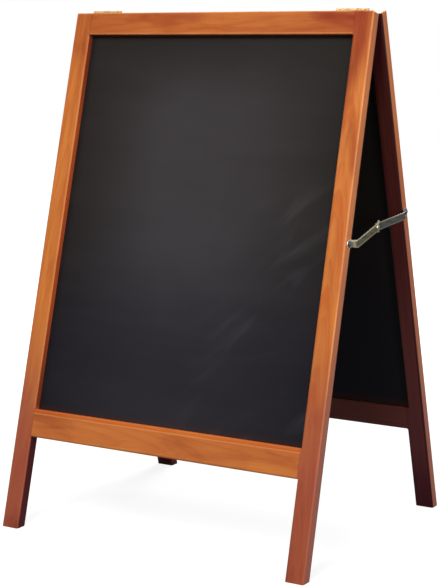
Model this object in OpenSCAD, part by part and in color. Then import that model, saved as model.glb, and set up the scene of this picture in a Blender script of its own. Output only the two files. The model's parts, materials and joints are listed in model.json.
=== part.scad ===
/* [Frames] */
// Width of a frame across its two stiles
frame_w = 550; // [420:10:700]
// Length of a stile along its outer face, from the top edge to the foot
frame_h = 850; // [700:10:1100]
// Thickness of the timber from its outer face to its inner face
frame_t = 20; // [19:1:24]
// Face width of a stile
stile_w = 31; // [28:1:42]
// Face height of a top rail
top_rail_h = 38; // [34:1:55]
// Face height of a bottom rail
bottom_rail_h = 45; // [36:1:65]
// Free leg below a bottom rail
leg_h = 147; // [100:1:220]
// Radius of the eased long edges
edge_r = 3; // [1:0.5:4]
// Angle between the two frames when the sign stands open
spread = 29.2; // [24:0.2:34]

/* [Boards] */
// Thickness of a chalkboard panel
board_t = 5; // [3:0.5:6]
// Depth of a panel's face behind the outer face of its frame
board_recess = 11.5; // [9:0.5:12]
// Width of the rabbet that a panel sits in
rabbet_w = 7; // [6:0.5:9]
// Free space around a panel in its rabbet
board_gap = 0.5; // [0.2:0.1:1]
// Diameter of a panel pin
brad_d = 1.4; // [1:0.1:1.6]
// Length of a panel pin
brad_len = 12; // [10:1:16]
// Length of a panel pin that shows over the back of the panel
brad_show = 4; // [3:0.5:5]
// Panel pins along each side of a panel
brads_per_side = 3; // [2:1:5]

/* [Dowels] */
// Diameter of a dowel
dowel_d = 6; // [5:1:8]
// Length of a dowel, half in the stile and half in the rail
dowel_len = 36; // [28:2:44]
// Distance between the two dowels of a joint
dowel_pitch = 15; // [12:1:17]
// Depth of a dowel's centre behind the outer face of the frame
dowel_set = 6.5; // [6:0.1:7]

/* [Hinges] */
// Length of a hinge along its pin
hinge_len = 55; // [46:1:75]
// Distance from a frame's side to the near end of its hinge
hinge_inset = 19.5; // [18:0.5:21]
// Height of the pin axis above the top edges of the frames
hinge_rise = 6; // [5:0.5:8]
// Outer diameter of the hinge knuckles
knuckle_d = 5.5; // [5:0.1:6.5]
// Diameter of a hinge pin
hinge_pin_d = 2.6; // [2:0.1:3]
// Thickness of a hinge leaf
leaf_t = 1.2; // [1.1:0.1:1.5]
// Depth of a leaf below the pin axis
leaf_drop = 20; // [18:0.5:26]
// Knuckles of a hinge, on both leaves together
knuckles = 5; // [3:2:7]
// Gap between the two leaves of a hinge when the sign is shut
leaf_gap = 0.3; // [0.2:0.1:0.6]
// Gap between neighbouring knuckles
knuckle_gap = 0.25; // [0.2:0.05:0.4]
// Distance from a leaf's end to its first screw
leaf_screw_margin = 6; // [5:0.5:8]
// Screws in each leaf
leaf_screws = 3; // [2:1:4]

/* [Hinge screws] */
// Diameter of a hinge screw
hinge_screw_d = 3; // [2.5:0.1:3]
// Diameter of a hinge screw's countersunk head
hinge_screw_head_d = 5.2; // [4.4:0.1:5.2]
// Length of a hinge screw
hinge_screw_len = 10; // [7:0.5:10]

/* [Folding stays] */
// Distance down the stile from the pin axis to a front stay screw
stay_front_drop = 360; // [300:5:420]
// Distance down the stile from the pin axis to a rear stay screw
stay_rear_drop = 328; // [290:1:340]
// Height of the middle rivet above the line between the two stay screws
stay_rise = 5; // [3:0.5:8]
// Width of a stay link
link_w = 12; // [10:0.5:14]
// Width that the round eyes add to a link at its screw and at its rivet
eye_swell = 1; // [0.5:0.5:2]
// Thickness of the strip that the links are made of
link_t = 1.5; // [1.2:0.1:2]
// Outward crank of a front link between its screw eye and its bar
link_crank = 7; // [5:0.5:9]
// Length of the crank along a link
crank_run = 8; // [5:0.5:9]
// Height of a screw eye above the line of its link's bar
eye_rise = 4; // [2:0.5:5]
// Length of a front link past its middle rivet
link_tail = 7; // [6:0.5:8]
// Height of the thumb tab above a front link
thumb_h = 3; // [2:0.5:5]
// Length of the thumb tab and of the stop lug along a link
thumb_len = 4.5; // [3:0.5:5]
// Diameter of the middle rivet's shank
rivet_d = 4; // [3.5:0.1:5]
// Diameter of the middle rivet's head
rivet_head_d = 7.5; // [6.5:0.1:9]
// Height of the middle rivet's head
rivet_head_h = 1.6; // [1.2:0.1:2]

/* [Stay screws] */
// Diameter of a stay screw
stay_screw_d = 4; // [3.5:0.1:4.5]
// Length of a stay screw in the timber
stay_screw_len = 16; // [10:1:18]
// Diameter of a stay screw's round head
stay_screw_head_d = 8; // [7:0.1:9]
// Height of a stay screw's round head
stay_screw_head_h = 2.6; // [2:0.1:3]

/* [Fits] */
// Radial clearance of a dowel or a panel pin in its hole
hole_fit = 0.1; // [0.05:0.01:0.15]
// Radial clearance of a pin, screw or rivet in a part that turns on it
turn_fit = 0.06; // [0.04:0.01:0.1]
// Gap between faces that slide past each other
slide_gap = 0.3; // [0.25:0.05:0.5]

/* [Hidden] */
$fn = 48;

// Tells the two ends of a stay apart, and the two frames that carry them
FRONT = 0;
REAR = 1;
// A cutter runs past the face that it opens by this much
over = 1;

// The frames lean apart by half of the spread, on each side of the plane of the hinge pins.
// Frame coordinates: x across the sign, y = 0 on the plane of the pins and negative outwards,
// z = 0 on the pin axis and negative down the stile.
lean = spread / 2;
half_gap = leaf_t + leaf_gap / 2;
y_inner = -half_gap;
y_outer = -half_gap - frame_t;
x_side = frame_w / 2;
x_open = x_side - stile_w;
z_top = -hinge_rise;
z_foot = z_top - frame_h;
z_foot_inner = z_foot + frame_t * tan(lean);
z_open_top = z_top - top_rail_h;
z_rail_low = z_foot + leg_h;
z_open_low = z_rail_low + bottom_rail_h;
open_h = z_open_top - z_open_low;
open_w = 2 * x_open;
// The feet are cut level, so this puts their soles on the ground
pin_z = -z_foot * cos(lean) + y_outer * sin(lean);

rabbet_depth = frame_t - board_recess;
y_brad = y_outer + board_recess + board_t + hole_fit + brad_d / 2;
x_rabbet = x_open + rabbet_w;
z_rabbet_top = z_open_top + rabbet_w;
z_rabbet_low = z_open_low - rabbet_w;

// Heights of the dowels: two in the solid part of each rail
y_dowel = y_outer + dowel_set;
z_joint_top = (z_top + z_rabbet_top) / 2;
z_joint_low = (z_rail_low + z_rabbet_low) / 2;
dowel_zs = [
  for (z = [z_joint_top, z_joint_low])
    for (k = [-1, 1])
      z + k * dowel_pitch / 2
];
// Chamfer at the ends of a dowel
dowel_tip = 1;

// Places of the panel pins along the opening
brad_zs = [for (i = [0 : brads_per_side - 1]) z_open_low + (i + 0.5) * open_h / brads_per_side];
brad_xs = [for (i = [0 : brads_per_side - 1]) (i + 0.5) * open_w / brads_per_side - x_open];

// Hinges
knuckle_pitch = hinge_len / knuckles;
x_hinge_near = x_side - hinge_inset - hinge_len;
// A hinge pin stands out of its barrel by this much, and is chamfered over it
hinge_pin_tip = 0.4;
leaf_screw_pitch = (hinge_len - 2 * leaf_screw_margin) / (leaf_screws - 1);
leaf_screw_xs = [for (i = [0 : leaf_screws - 1]) x_hinge_near + leaf_screw_margin + i * leaf_screw_pitch];
z_leaf_screw = -(hinge_rise + leaf_drop) / 2;
countersink_h = (hinge_screw_head_d - hinge_screw_d) / 2;
leaf_corner_r = 1.5;
// Share of a wood screw's length that tapers to its point
screw_tip_share = 0.25;

// Stays: the screws sit in the middle of the timber. The links are unequal by as much as makes
// the middle rivet fall on the plane of the pins when the sign is shut, so the stay folds flat.
y_stay = (y_inner + y_outer) / 2;
front_eye = [y_stay * cos(lean) - stay_front_drop * sin(lean), -stay_front_drop * cos(lean) - y_stay * sin(lean)];
rear_eye = [stay_rear_drop * sin(lean) - y_stay * cos(lean), -stay_rear_drop * cos(lean) - y_stay * sin(lean)];
stay_span = norm(rear_eye - front_eye);
stay_slope = atan2(rear_eye[1] - front_eye[1], rear_eye[0] - front_eye[0]);
eye_step = stay_front_drop - stay_rear_drop;
fold_a = 1 - pow(eye_step / stay_span, 2);
fold_m = stay_span / 2 - eye_step * eye_step / (2 * stay_span);
fold_b = 2 * fold_m * eye_step / stay_span;
fold_k = fold_m * fold_m + stay_rise * stay_rise - y_stay * y_stay;
fold_drop = (sqrt(fold_b * fold_b + 4 * fold_a * fold_k) - fold_b) / (2 * fold_a);
front_link_len = norm([y_stay, fold_drop]);
rear_link_len = norm([y_stay, fold_drop + eye_step]);
front_link_bend = asin(stay_rise / front_link_len);
rear_link_bend = asin(stay_rise / rear_link_len);
// Length of each bar between its eye and its rivet, and how far it slopes from the line that
// joins them, since the eye stands above the bar
bar_len = [
  sqrt(pow(front_link_len, 2) - pow(eye_rise, 2)),
  sqrt(pow(rear_link_len, 2) - pow(eye_rise, 2))
];
bar_angle = [
  stay_slope + front_link_bend + asin(eye_rise / front_link_len),
  stay_slope - rear_link_bend - asin(eye_rise / rear_link_len)
];
// The rear link lies inside the front link at the rivet
crank_of = [link_crank, link_crank - link_t - slide_gap];
x_eye = x_side + slide_gap;
// A link is flat round its screw eye, and starts to bend just past the round of the eye
eye_margin = 0.5;
eye_d = link_w + eye_swell;
eye_flat = eye_d / 2 + eye_margin;
crank_steps = 10;
crank_us = [for (i = [0 : crank_steps]) eye_flat + i * crank_run / crank_steps];
// Seen from the side, it dips from its eye to its bar over about the same length
dip_from = link_w / 4;
dip_run = dip_from + crank_run;
dip_steps = 9;
dip_us = [for (i = [0 : dip_steps]) dip_from + i * dip_run / dip_steps];

// Holds a piece of the right side, or its mirror image on the left side
module handed(side) {
  if (side < 0) mirror([1, 0, 0]) children();
  else children();
}

// Leans a piece in frame coordinates into its place on the front or the rear frame
module in_frame(end) {
  translate([0, 0, pin_z])
    rotate([0, 0, end == REAR ? 180 : 0])
      rotate([-lean, 0, 0])
        children();
}

// Side of a piece in frame coordinates: the rear frame is turned about, so its sides swap
function turned(end, side) = end == REAR ? -side : side;

// Draws an outline in y and z, and gives it a width along x
module across(x0, width) {
  translate([x0, 0, 0]) rotate([90, 0, 90]) linear_extrude(height = width) children();
}

// Flat cutter that rounds a corner at the origin of an outline which lies towards dx, dy
module corner_cut(dx, dy, r) {
  difference() {
    translate([dx > 0 ? -over : -r, dy > 0 ? -over : -r]) square(r + over);
    translate([dx * r, dy * r]) circle(r = r);
  }
}

// Section of a stile in x and y, square on the side of the opening
module stile_section() {
  difference() {
    translate([x_open, y_outer]) square([stile_w, frame_t]);
    translate([x_side, y_outer]) corner_cut(-1, 1, edge_r);
    translate([x_side, y_inner]) corner_cut(-1, -1, edge_r);
  }
}

// Outline of a stile from the side, with an eased top and a foot that stands level
module stile_profile() {
  difference() {
    polygon([[y_outer, z_foot], [y_inner, z_foot_inner], [y_inner, z_top], [y_outer, z_top]]);
    translate([y_outer, z_top]) corner_cut(1, -1, edge_r);
  }
}

// Eases the opening-side edges of a stile between two heights
module inner_edge_cuts(z0, z1, with_back) {
  translate([0, 0, z0])
    linear_extrude(height = z1 - z0) {
      translate([x_open, y_outer]) corner_cut(1, 1, edge_r);
      if (with_back) translate([x_open, y_inner]) corner_cut(1, -1, edge_r);
    }
}

// Right stile of a frame: it runs from the top edge to the ground and is also the leg
module stile(end) {
  eye_drop = end == FRONT ? stay_front_drop : stay_rear_drop;
  difference() {
    intersection() {
      translate([0, 0, z_foot]) linear_extrude(height = frame_h) stile_section();
      across(x_open, stile_w) stile_profile();
    }
    translate([x_side, y_inner + over, z_top])
      rotate([90, 0, 0]) linear_extrude(height = frame_t + 2 * over) corner_cut(-1, -1, edge_r);
    inner_edge_cuts(z_open_low, z_open_top, false);
    inner_edge_cuts(z_foot - over, z_rail_low, true);
    translate([x_open - over, y_inner - rabbet_depth, z_rabbet_low])
      cube([rabbet_w + over, rabbet_depth + over, z_rabbet_top - z_rabbet_low]);
    for (z = dowel_zs) translate([x_open - over, y_dowel, z])
      rotate([0, 90, 0]) cylinder(d = dowel_d + 2 * hole_fit, h = dowel_len / 2 + hole_fit + over);
    for (z = brad_zs) translate([x_rabbet - over, y_brad, z])
      rotate([0, 90, 0]) cylinder(d = brad_d + 2 * hole_fit, h = brad_len - brad_show + hole_fit + over);
    for (x = leaf_screw_xs) if (x > x_open) leaf_screw_hole(x);
    translate([x_side + over, y_stay, -eye_drop])
      rotate([0, -90, 0]) cylinder(d = stay_screw_d + 2 * hole_fit, h = stay_screw_len + hole_fit + over);
  }
}

// Pilot hole for a hinge screw, drilled from the inner face
module leaf_screw_hole(x) {
  translate([x, y_inner + over, z_leaf_screw])
    rotate([90, 0, 0])
      cylinder(d = hinge_screw_d + 2 * hole_fit, h = hinge_screw_len - leaf_t + hole_fit + over);
}

// A rail between the stiles. It is drawn with its outer edge at z = 0 and its opening edge at
// z = up * h, so up is -1 for a top rail and 1 for a bottom rail.
module rail(h, up) {
  z_near = up > 0 ? 0 : -h;
  difference() {
    across(-x_open, open_w) difference() {
      translate([y_outer, z_near]) square([frame_t, h]);
      translate([y_outer, 0]) corner_cut(1, up, edge_r);
      if (up > 0) translate([y_inner, 0]) corner_cut(-1, up, edge_r);
      translate([y_outer, up * h]) corner_cut(1, -up, edge_r);
      translate([y_inner - rabbet_depth, up > 0 ? h - rabbet_w : -h - over])
        square([rabbet_depth + over, rabbet_w + over]);
    }
    for (x = brad_xs) translate([x, y_brad, up * (h - rabbet_w + over)])
      rotate([up > 0 ? 180 : 0, 0, 0])
        cylinder(d = brad_d + 2 * hole_fit, h = brad_len - brad_show + hole_fit + over);
  }
}

// Dowel holes in both ends of a rail, centred on a height
module rail_dowel_holes(z_mid) {
  for (side = [-1, 1]) for (k = [-1, 1])
    translate([side * (x_open + over), y_dowel, z_mid + k * dowel_pitch / 2])
      rotate([0, -side * 90, 0])
        cylinder(d = dowel_d + 2 * hole_fit, h = dowel_len / 2 + hole_fit + over);
}

module top_rail() {
  difference() {
    translate([0, 0, z_top]) rail(top_rail_h, -1);
    rail_dowel_holes(z_joint_top);
    for (side = [-1, 1]) handed(side) for (x = leaf_screw_xs) if (x < x_open) leaf_screw_hole(x);
  }
}

module bottom_rail() {
  difference() {
    translate([0, 0, z_rail_low]) rail(bottom_rail_h, 1);
    rail_dowel_holes(z_joint_low);
  }
}

// Chalkboard panel, laid in the rabbet against its shoulder
module chalkboard() {
  half_w = x_rabbet - board_gap;
  translate([-half_w, y_outer + board_recess, z_rabbet_low + board_gap])
    cube([2 * half_w, board_t, z_rabbet_top - z_rabbet_low - 2 * board_gap]);
}

// A dowel with chamfered ends, centred on the joint
module dowel() {
  rotate([0, 90, 0]) rotate_extrude()
    polygon([
      [0, -dowel_len / 2], [dowel_d / 2 - dowel_tip, -dowel_len / 2],
      [dowel_d / 2, -dowel_len / 2 + dowel_tip], [dowel_d / 2, dowel_len / 2 - dowel_tip],
      [dowel_d / 2 - dowel_tip, dowel_len / 2], [0, dowel_len / 2]
    ]);
}

module dowels() {
  for (side = [-1, 1]) for (z = dowel_zs) translate([side * x_open, y_dowel, z]) dowel();
}

// A panel pin along z: its head end shows over the panel, and its point is in the timber
module brad() {
  translate([0, 0, -brad_show]) cylinder(d = brad_d, h = brad_len - brad_d);
  translate([0, 0, brad_len - brad_d - brad_show]) cylinder(d1 = brad_d, d2 = 0, h = brad_d);
}

module board_pins() {
  for (side = [-1, 1]) handed(side) for (z = brad_zs)
    translate([x_rabbet, y_brad, z]) rotate([0, 90, 0]) brad();
  for (x = brad_xs) {
    translate([x, y_brad, z_rabbet_top]) brad();
    translate([x, y_brad, z_rabbet_low]) rotate([180, 0, 0]) brad();
  }
}

// First edge of knuckle i, counted from the middle of the sign
function knuckle_x(i) = x_hinge_near + i * knuckle_pitch;

// Whether knuckle i belongs to the front leaf
function is_front(i) = i % 2 == 0;

// Plate of a leaf in x and z, with rounded lower corners
module leaf_plate() {
  translate([0, y_inner + leaf_t, 0]) rotate([90, 0, 0])
    linear_extrude(height = leaf_t) difference() {
      translate([x_hinge_near, -leaf_drop]) square([hinge_len, leaf_drop]);
      translate([x_hinge_near, -leaf_drop]) corner_cut(1, 1, leaf_corner_r);
      translate([x_hinge_near + hinge_len, -leaf_drop]) corner_cut(-1, 1, leaf_corner_r);
    }
}

// Leaf of the right hinge. The front leaf has the outer knuckles, and the rear leaf those between.
module hinge_leaf(end) {
  own_gap = knuckle_gap / 2;
  difference() {
    union() {
      leaf_plate();
      for (i = [0 : knuckles - 1]) if (is_front(i) == (end == FRONT))
        translate([knuckle_x(i) + own_gap, 0, 0])
          rotate([0, 90, 0]) cylinder(d = knuckle_d, h = knuckle_pitch - knuckle_gap);
    }
    for (i = [0 : knuckles - 1]) if (is_front(i) != (end == FRONT))
      translate([knuckle_x(i) - own_gap, -knuckle_d, -knuckle_d / 2 - slide_gap])
        cube([knuckle_pitch + knuckle_gap, 2 * knuckle_d, knuckle_d + over]);
    translate([x_hinge_near - over, 0, 0])
      rotate([0, 90, 0]) cylinder(d = hinge_pin_d + 2 * turn_fit, h = hinge_len + 2 * over);
    for (x = leaf_screw_xs) translate([x, y_inner + leaf_t, z_leaf_screw]) rotate([90, 0, 0]) {
      translate([0, 0, -over]) cylinder(d = hinge_screw_d + 2 * hole_fit, h = leaf_t + 2 * over);
      cylinder(d1 = hinge_screw_head_d + 2 * hole_fit, d2 = hinge_screw_d + 2 * hole_fit, h = countersink_h);
      translate([0, 0, -over]) cylinder(d = hinge_screw_head_d + 2 * hole_fit, h = over);
    }
  }
}

// Countersunk wood screw, head face at the origin and point towards -y
module hinge_screw() {
  tip = screw_tip_share * hinge_screw_len;
  rotate([90, 0, 0]) rotate_extrude() polygon([
    [0, 0], [hinge_screw_head_d / 2, 0], [hinge_screw_d / 2, countersink_h],
    [hinge_screw_d / 2, hinge_screw_len - tip], [0, hinge_screw_len]
  ]);
}

module hinge_screws() {
  for (side = [-1, 1]) handed(side) for (x = leaf_screw_xs)
    translate([x, y_inner + leaf_t, z_leaf_screw]) hinge_screw();
}

// Pin of the right hinge, with chamfered ends that stand just out of the barrel
module hinge_pin() {
  r = hinge_pin_d / 2;
  half = hinge_len / 2 + hinge_pin_tip;
  translate([x_hinge_near + hinge_len / 2, 0, pin_z])
    rotate([0, 90, 0]) rotate_extrude() polygon([
      [0, -half], [r - hinge_pin_tip, -half], [r, -half + hinge_pin_tip],
      [r, half - hinge_pin_tip], [r - hinge_pin_tip, half], [0, half]
    ]);
}

// Round head along x: a cap of a sphere on a flat seat at the origin
module round_head(d, h) {
  cap_r = (d * d / 4 + h * h) / (2 * h);
  rotate([0, 90, 0]) intersection() {
    translate([0, 0, h - cap_r]) sphere(r = cap_r);
    cylinder(d = d + over, h = h + over);
  }
}

// Round-head wood screw that a link turns on, in the side of a stile
module stay_screw(drop) {
  tip = screw_tip_share * stay_screw_len;
  head_x = x_eye + link_t + slide_gap;
  translate([0, y_stay, -drop]) {
    translate([head_x, 0, 0]) round_head(stay_screw_head_d, stay_screw_head_h);
    translate([x_side - stay_screw_len, 0, 0]) rotate([0, 90, 0]) {
      translate([0, 0, tip]) cylinder(d = stay_screw_d, h = head_x - x_side + stay_screw_len - tip);
      cylinder(d1 = 0, d2 = stay_screw_d, h = tip);
    }
  }
}

// How far through its crank a link is at distance u from the screw, from 0 to 1
function crank_part(u) = min(max((u - eye_flat) / crank_run, 0), 1);

// How far through its dip it is there
function dip_part(u) = min(max((u - dip_from) / dip_run, 0), 1);

// Crank and dip are both smooth S bends
function smooth(k) = k * k * (3 - 2 * k);

// The strip measured along x is thicker on the crank, where it runs aslant
function strip_skew(u, end) =
  let (k = crank_part(u), slope = 6 * k * (1 - k) * crank_of[end] / crank_run) sqrt(1 + slope * slope);

// Strip of a link seen from above: flat at the screw eye, cranked outwards, then straight
module link_strip(end) {
  us = concat([-link_w], crank_us, [bar_len[end] + link_w]);
  inner = [for (u = us) [x_eye + crank_of[end] * smooth(crank_part(u)), u]];
  outer = [for (i = [len(us) - 1 : -1 : 0]) [inner[i][0] + link_t * strip_skew(us[i], end), us[i]]];
  polygon(concat(inner, outer));
}

// Outline of a link in y and z: down from the screw eye to the bar, and along the bar to the
// rivet. The front link runs on past the rivet to a square end with the thumb tab.
module link_outline(end) {
  us = concat([0], dip_us, [bar_len[end]]);
  lower = [for (u = us) [u, -link_w / 2 - eye_rise * smooth(dip_part(u))]];
  upper = [for (i = [len(us) - 1 : -1 : 0]) [us[i], lower[i][1] + link_w]];
  polygon(concat(lower, upper));
  circle(d = eye_d);
  translate([bar_len[end], -eye_rise]) {
    circle(d = eye_d);
    if (end == FRONT) {
      translate([0, -link_w / 2]) square([link_tail, link_w]);
      translate([link_tail - thumb_len, 0]) square([thumb_len, link_w / 2 + thumb_h]);
    }
  }
}

// Stop lug of a front link: it turns in under the lower edge of the rear link, and keeps the
// middle of the stay from rising any further
module stop_lug() {
  drop = eye_d / 2 + slide_gap;
  x_in = x_eye + crank_of[REAR];
  x_out = x_eye + crank_of[FRONT] + link_t;
  translate([0, bar_len[FRONT], -eye_rise]) rotate([bar_angle[REAR] - bar_angle[FRONT], 0, 0]) {
    translate([x_out - link_t, 0, -drop - link_t]) cube([link_t, thumb_len, drop + link_t]);
    translate([x_in, 0, -drop - link_t]) cube([x_out - x_in, thumb_len, link_t]);
  }
}

// Right link of a stay, drawn with its screw eye at the origin and its bar along +y
module stay_link(end) {
  difference() {
    union() {
      intersection() {
        translate([0, 0, -link_w - eye_rise])
          linear_extrude(height = 2 * link_w + eye_rise + thumb_h) link_strip(end);
        across(x_side, link_crank + 2 * link_t + over) link_outline(end);
      }
      if (end == FRONT) stop_lug();
    }
    translate([x_side, 0, 0]) rotate([0, 90, 0])
      cylinder(d = stay_screw_d + 2 * turn_fit, h = link_t + 2 * slide_gap + over);
    translate([x_side, bar_len[end], -eye_rise]) rotate([0, 90, 0])
      cylinder(d = rivet_d + 2 * turn_fit, h = link_crank + 2 * link_t + 2 * over);
  }
}

// Carries a piece of the front or rear link from the link's own place to its place at rest
module on_stay(end) {
  eye = end == FRONT ? front_eye : rear_eye;
  translate([0, eye[0], pin_z + eye[1]])
    rotate([bar_angle[end], 0, 0]) {
      if (end == REAR) mirror([0, 1, 0]) children();
      else children();
    }
}

// Head of the middle rivet, with its half of the shank in the front link
module rivet_head() {
  x_out = x_eye + crank_of[FRONT] + link_t;
  translate([0, bar_len[FRONT], -eye_rise]) {
    translate([x_out, 0, 0]) round_head(rivet_head_d, rivet_head_h);
    translate([x_out - link_t, 0, 0]) rotate([0, 90, 0]) cylinder(d = rivet_d, h = link_t);
  }
}

// Set end of the middle rivet, with its half of the shank in the rear link
module rivet_tail() {
  x_in = x_eye + crank_of[REAR];
  translate([0, bar_len[REAR], -eye_rise]) {
    translate([x_in, 0, 0]) mirror([1, 0, 0]) round_head(rivet_head_d, rivet_head_h);
    translate([x_in, 0, 0]) rotate([0, 90, 0]) cylinder(d = rivet_d, h = link_t);
  }
}

module wood() { color([0.72, 0.4, 0.2]) children(); }
module beech() { color([0.85, 0.7, 0.5]) children(); }
module slate() { color([0.17, 0.16, 0.17]) children(); }
module brass() { color([0.85, 0.75, 0.5]) children(); }
module steel() { color([0.5, 0.5, 0.5]) children(); }
module dark_steel() { color([0.42, 0.4, 0.33]) children(); }

module frame_stile(end, side) { wood() in_frame(end) handed(turned(end, side)) stile(end); }
module frame_top_rail(end) { wood() in_frame(end) top_rail(); }
module frame_bottom_rail(end) { wood() in_frame(end) bottom_rail(); }
module frame_board(end) { slate() in_frame(end) chalkboard(); }
module frame_dowels(end) { beech() in_frame(end) dowels(); }
module frame_board_pins(end) { steel() in_frame(end) board_pins(); }
module frame_hinge_leaf(end, side) { brass() in_frame(end) handed(turned(end, side)) hinge_leaf(end); }
module frame_hinge_screws(end) { brass() in_frame(end) hinge_screws(); }
module frame_stay_screws(end) {
  steel() in_frame(end) for (side = [-1, 1]) handed(side)
    stay_screw(end == FRONT ? stay_front_drop : stay_rear_drop);
}
module barrel_pin(side) { brass() handed(side) hinge_pin(); }
module link(end, side) { dark_steel() handed(side) on_stay(end) stay_link(end); }
module rivet_half(end, side) {
  steel() handed(side) on_stay(end) {
    if (end == FRONT) rivet_head();
    else rivet_tail();
  }
}

frame_stile(FRONT, -1);  // front_left_stile
frame_stile(FRONT, 1);  // front_right_stile
frame_top_rail(FRONT);  // front_top_rail
frame_bottom_rail(FRONT);  // front_bottom_rail
frame_board(FRONT);  // front_chalkboard
frame_dowels(FRONT);  // front_dowels
frame_board_pins(FRONT);  // front_board_pins
frame_hinge_leaf(FRONT, -1);  // front_left_hinge_leaf
frame_hinge_leaf(FRONT, 1);  // front_right_hinge_leaf
frame_hinge_screws(FRONT);  // front_hinge_screws
frame_stay_screws(FRONT);  // front_stay_screws
frame_stile(REAR, -1);  // rear_left_stile
frame_stile(REAR, 1);  // rear_right_stile
frame_top_rail(REAR);  // rear_top_rail
frame_bottom_rail(REAR);  // rear_bottom_rail
frame_board(REAR);  // rear_chalkboard
frame_dowels(REAR);  // rear_dowels
frame_board_pins(REAR);  // rear_board_pins
frame_hinge_leaf(REAR, -1);  // rear_left_hinge_leaf
frame_hinge_leaf(REAR, 1);  // rear_right_hinge_leaf
frame_hinge_screws(REAR);  // rear_hinge_screws
frame_stay_screws(REAR);  // rear_stay_screws
barrel_pin(-1);  // left_hinge_pin
barrel_pin(1);  // right_hinge_pin
link(FRONT, -1);  // left_front_stay_link
link(REAR, -1);  // left_rear_stay_link
rivet_half(FRONT, -1);  // left_stay_rivet_head
rivet_half(REAR, -1);  // left_stay_rivet_tail
link(FRONT, 1);  // right_front_stay_link
link(REAR, 1);  // right_rear_stay_link
rivet_half(FRONT, 1);  // right_stay_rivet_head
rivet_half(REAR, 1);  // right_stay_rivet_tail
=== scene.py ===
import json
import math

import bmesh
import bpy
from mathutils import Euler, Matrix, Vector


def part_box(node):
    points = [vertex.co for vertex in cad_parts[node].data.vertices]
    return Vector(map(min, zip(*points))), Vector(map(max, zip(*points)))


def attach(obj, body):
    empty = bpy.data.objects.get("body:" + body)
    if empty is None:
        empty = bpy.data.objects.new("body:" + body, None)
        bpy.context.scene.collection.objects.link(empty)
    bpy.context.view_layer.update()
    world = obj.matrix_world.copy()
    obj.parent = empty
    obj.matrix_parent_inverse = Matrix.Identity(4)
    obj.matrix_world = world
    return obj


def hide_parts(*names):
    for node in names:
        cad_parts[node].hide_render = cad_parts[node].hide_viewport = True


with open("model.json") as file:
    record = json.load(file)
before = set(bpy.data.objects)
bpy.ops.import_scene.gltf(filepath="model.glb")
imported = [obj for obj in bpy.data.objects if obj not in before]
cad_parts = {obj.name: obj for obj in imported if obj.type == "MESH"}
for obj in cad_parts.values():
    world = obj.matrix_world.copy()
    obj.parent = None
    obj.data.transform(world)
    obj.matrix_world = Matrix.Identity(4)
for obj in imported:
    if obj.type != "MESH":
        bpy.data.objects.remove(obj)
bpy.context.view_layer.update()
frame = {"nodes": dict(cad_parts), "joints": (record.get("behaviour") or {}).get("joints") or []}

nodes = frame["nodes"]


# Frame timber. Each frame is two pine stiles that run down as legs, with a rail between them at
# the top and above the legs. The timber is stained orange-brown, darker where the wood drinks
# more of it at the joints and the feet, and sealed with satin varnish, rubbed pale on the arrises.
# Its colour also holds painted light: highlights on the arrises, side faces and sill, and painted
# shade on the reveals, under the top rail and on the faces inside the sign.
class Wire:
    """A value on its way through a tree. Signs between wires and numbers add Math nodes."""

    def __init__(self, bench, socket):
        self.bench = bench
        self.socket = socket

    def __add__(self, other):
        return self.bench.maths("ADD", self, other)

    def __radd__(self, other):
        return self.bench.maths("ADD", other, self)

    def __sub__(self, other):
        return self.bench.maths("SUBTRACT", self, other)

    def __rsub__(self, other):
        return self.bench.maths("SUBTRACT", other, self)

    def __mul__(self, other):
        return self.bench.maths("MULTIPLY", self, other)

    def __rmul__(self, other):
        return self.bench.maths("MULTIPLY", other, self)

    def __truediv__(self, other):
        return self.bench.maths("DIVIDE", self, other)

    def __rtruediv__(self, other):
        return self.bench.maths("DIVIDE", other, self)

    def __abs__(self):
        return self.bench.maths("ABSOLUTE", self)


class Bench:
    """A tree of nodes under construction, in a material or for a shape."""

    def __init__(self, tree):
        self.tree = tree

    def node(self, kind, settings, inputs):
        """Adds a node: its settings first, then the values or wires of its sockets. Among the
        settings, stops are a ramp's shades and choices is how many inputs a switch has."""
        made = self.tree.nodes.new(kind)
        for key, value in settings.items():
            if key == "stops":
                ramp_stops(made.color_ramp, value)
            elif key == "choices":
                for _ in range(value - len(made.index_switch_items)):
                    made.index_switch_items.new()
            else:
                setattr(made, key, value)
        for key, value in inputs.items():
            self.feed(made.inputs[key], value)
        return made

    def feed(self, socket, value):
        """Gives a socket its value, or links it to a wire or to each wire of a list."""
        for each in value if isinstance(value, list) else [value]:
            if isinstance(each, Wire):
                self.tree.links.new(each.socket, socket)
            else:
                socket.default_value = each

    def out(self, made, key=0):
        return Wire(self, made.outputs[key])

    def make(self, kind, settings, inputs, key=0):
        """Adds a node and gives the wire that leaves it."""
        return self.out(self.node(kind, settings, inputs), key)

    def maths(self, operation, *values):
        return self.make("ShaderNodeMath", {"operation": operation}, dict(enumerate(values)))

    def stronger(self, first, second):
        return self.maths("MAXIMUM", first, second)

    def distance(self, x, y):
        return self.maths("SQRT", x * x + y * y)

    def join(self, x, y, z):
        return self.make("ShaderNodeCombineXYZ", {}, {0: x, 1: y, 2: z})

    def axes(self, vector):
        made = self.node("ShaderNodeSeparateXYZ", {}, {0: vector})
        return [self.out(made, key) for key in range(3)]


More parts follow.
